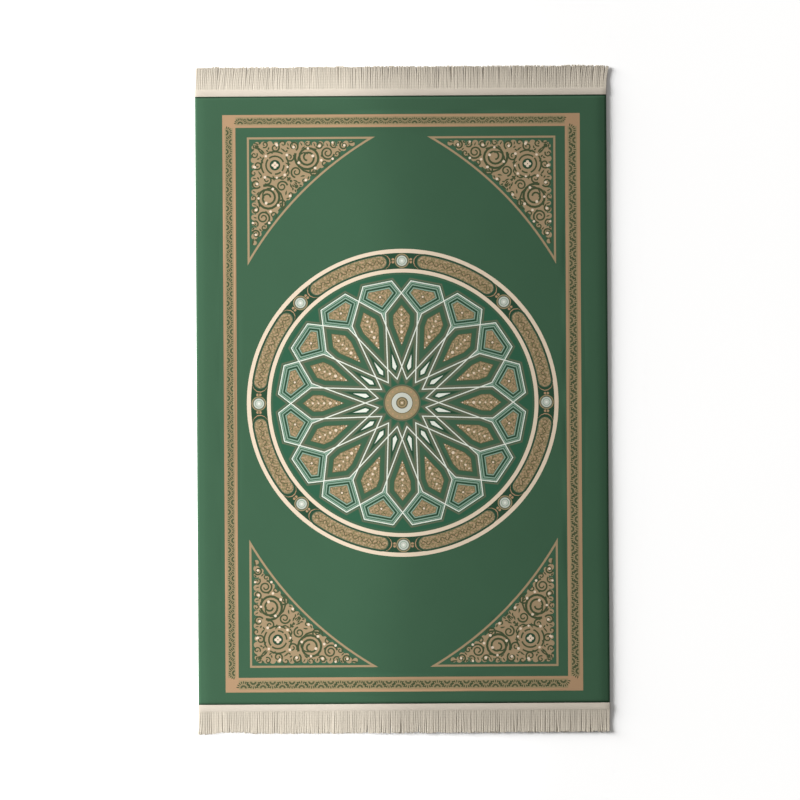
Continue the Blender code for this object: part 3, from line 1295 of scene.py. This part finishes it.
def build_stage(settings):
    """A pale floor, soft light from the upper left, and a camera straight above."""
    scene = bpy.context.scene
    bm = bmesh.new()
    bmesh.ops.create_grid(bm, x_segments=1, y_segments=1, size=FLOOR_HALF)
    floor = new_piece("floor", bm, [floor_material(settings)])

    world = bpy.data.worlds.new("studio")
    scene.world = world
    world.use_nodes = True
    world.node_tree.nodes["Background"].inputs["Color"].default_value = (1.0, 0.985, 0.96, 1.0)
    world.node_tree.nodes["Background"].inputs["Strength"].default_value = settings.ambient

    key = bpy.data.lights.new("key", "SUN")
    key.energy = settings.key
    key.angle = math.radians(settings.key_spread)
    key_object = bpy.data.objects.new("key", key)
    way = Vector((*KEY_WAY, -math.tan(math.radians(settings.key_height))))
    key_object.rotation_euler = way.to_track_quat("-Z", "Y").to_euler()
    scene.collection.objects.link(key_object)

    for name, share, edge, soft in WASHES:
        wash = bpy.data.lights.new(name, "SPOT")
        wash.energy = settings.wash * share
        wash.shadow_soft_size = 0.05
        outer = math.cos(math.atan((WASH_RADIUS + soft / 2) / WASH_HEIGHT))
        inner = math.cos(math.atan((WASH_RADIUS - soft / 2) / WASH_HEIGHT))
        wash.spot_size = 2 * math.acos(outer)
        wash.spot_blend = (inner - outer) / (1 - outer)
        wash_object = bpy.data.objects.new(name, wash)
        wash_object.location = (edge - WASH_RADIUS, 0.0, WASH_HEIGHT)
        scene.collection.objects.link(wash_object)

    camera = bpy.data.cameras.new("camera")
    camera.sensor_width = 36.0
    camera.lens = camera.sensor_width * CAMERA_HEIGHT / VIEW_WIDTH
    camera.clip_end = 100.0
    camera_object = bpy.data.objects.new("camera", camera)
    camera_object.location = (*CAMERA_PLACE, CAMERA_HEIGHT + PILE_HEIGHT)
    camera_object.rotation_euler = (0.0, 0.0, math.radians(CAMERA_ROLL))
    scene.collection.objects.link(camera_object)
    scene.camera = camera_object
    scene.view_settings.view_transform = "Standard"


# ---------------------------------------------------------------- the add-on


class RugPileSettings(bpy.types.PropertyGroup):
    tuft: bpy.props.FloatProperty(
        name="Tuft", description="Width of one tuft", default=0.0013, min=0.0005, unit="LENGTH"
    )
    grain: bpy.props.FloatProperty(
        name="Grain", description="How much the tufts differ in brightness", default=0.10, min=0.0, max=0.5
    )
    backing: bpy.props.FloatVectorProperty(
        name="Backing", description="Colour of the rug's back", subtype="COLOR",
        default=linear(YARN_COLOURS["backing"]),
    )


class RugTapeSettings(bpy.types.PropertyGroup):
    colour: bpy.props.FloatVectorProperty(
        name="Tape", description="Colour of the heading tapes", subtype="COLOR",
        default=linear("#BBB2A5"),
    )


class RugFringeSettings(bpy.types.PropertyGroup):
    strands: bpy.props.IntProperty(
        name="Strands", description="Strands in each of a fringe's two rows", default=230, min=20, max=400
    )
    strand: bpy.props.FloatProperty(
        name="Strand", description="Width of one strand", default=0.0034, min=0.0005, unit="LENGTH"
    )
    colour: bpy.props.FloatVectorProperty(
        name="Cotton", description="Colour of the strands", subtype="COLOR", default=linear("#B7AFA1"),
    )


class RugStageSettings(bpy.types.PropertyGroup):
    floor_colour: bpy.props.FloatVectorProperty(
        name="Floor", description="Colour of the floor", subtype="COLOR", default=linear("#FDFDFD")
    )
    ambient: bpy.props.FloatProperty(
        name="Ambient", description="Strength of the light from all sides", default=0.264, min=0.0
    )
    key: bpy.props.FloatProperty(
        name="Key", description="Strength of the light from the upper left", default=8.8, min=0.0
    )
    key_height: bpy.props.FloatProperty(
        name="Key height", description="Elevation of the key light, in degrees", default=15.5
    )
    key_spread: bpy.props.FloatProperty(
        name="Key spread", description="Angular width of the key light, in degrees", default=34.0
    )
    wash: bpy.props.FloatProperty(
        name="Wash", description="Power of the washes over the left half, in watts", default=5600.0, min=0.0
    )


class RUG_OT_cloth(bpy.types.Operator):
    """Weave the pile cloth and its pattern"""

    bl_idname = "rug.cloth"
    bl_label = "Weave cloth"

    def execute(self, context):
        build_rug(context.scene.rug_pile)
        return {"FINISHED"}


class RUG_OT_tapes(bpy.types.Operator):
    """Lay a heading tape over each end"""

    bl_idname = "rug.tapes"
    bl_label = "Lay heading tapes"

    def execute(self, context):
        material = tape_material(context.scene.rug_tape)
        for end in ("head", "foot"):
            tape = build_tape(end, material)
        return {"FINISHED"}


class RUG_OT_fringes(bpy.types.Operator):
    """Knot a fringe of cotton strands into each end"""

    bl_idname = "rug.fringes"
    bl_label = "Add fringes"

    def execute(self, context):
        settings = context.scene.rug_fringe
        material = strand_material(settings)
        fringes = [build_fringe(end, settings, material) for end in ("head", "foot")]
        return {"FINISHED"}


class RUG_OT_stage(bpy.types.Operator):
    """Set up the floor, the lights and the camera"""

    bl_idname = "rug.stage"
    bl_label = "Set the stage"

    def execute(self, context):
        build_stage(context.scene.rug_stage)
        return {"FINISHED"}


class RUG_PT_panel(bpy.types.Panel):
    """The rug's settings and the steps that build it"""

    bl_idname = "RUG_PT_panel"
    bl_label = "Prayer Rug"
    bl_space_type = "VIEW_3D"
    bl_region_type = "UI"
    bl_category = "Rug"

    def draw(self, context):
        for group, step in STEPS:
            box = self.layout.box()
            settings = getattr(context.scene, group)
            for name in settings.__annotations__:
                box.prop(settings, name)
            box.operator(step)


STEPS = (
    ("rug_pile", "rug.cloth"),
    ("rug_tape", "rug.tapes"),
    ("rug_fringe", "rug.fringes"),
    ("rug_stage", "rug.stage"),
)
SETTINGS = {
    "rug_pile": RugPileSettings,
    "rug_tape": RugTapeSettings,
    "rug_fringe": RugFringeSettings,
    "rug_stage": RugStageSettings,
}
CLASSES = (
    *SETTINGS.values(),
    RUG_OT_cloth,
    RUG_OT_tapes,
    RUG_OT_fringes,
    RUG_OT_stage,
    RUG_PT_panel,
)


def register():
    for kind in CLASSES:
        bpy.utils.register_class(kind)
    for name, kind in SETTINGS.items():
        setattr(bpy.types.Scene, name, bpy.props.PointerProperty(type=kind))


def unregister():
    for name in SETTINGS:
        delattr(bpy.types.Scene, name)
    for kind in reversed(CLASSES):
        bpy.utils.unregister_class(kind)


def main():
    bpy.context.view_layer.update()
    register()
    bpy.ops.rug.cloth()
    bpy.ops.rug.tapes()
    bpy.ops.rug.fringes()
    bpy.ops.rug.stage()


if __name__ == "__main__":
    main()
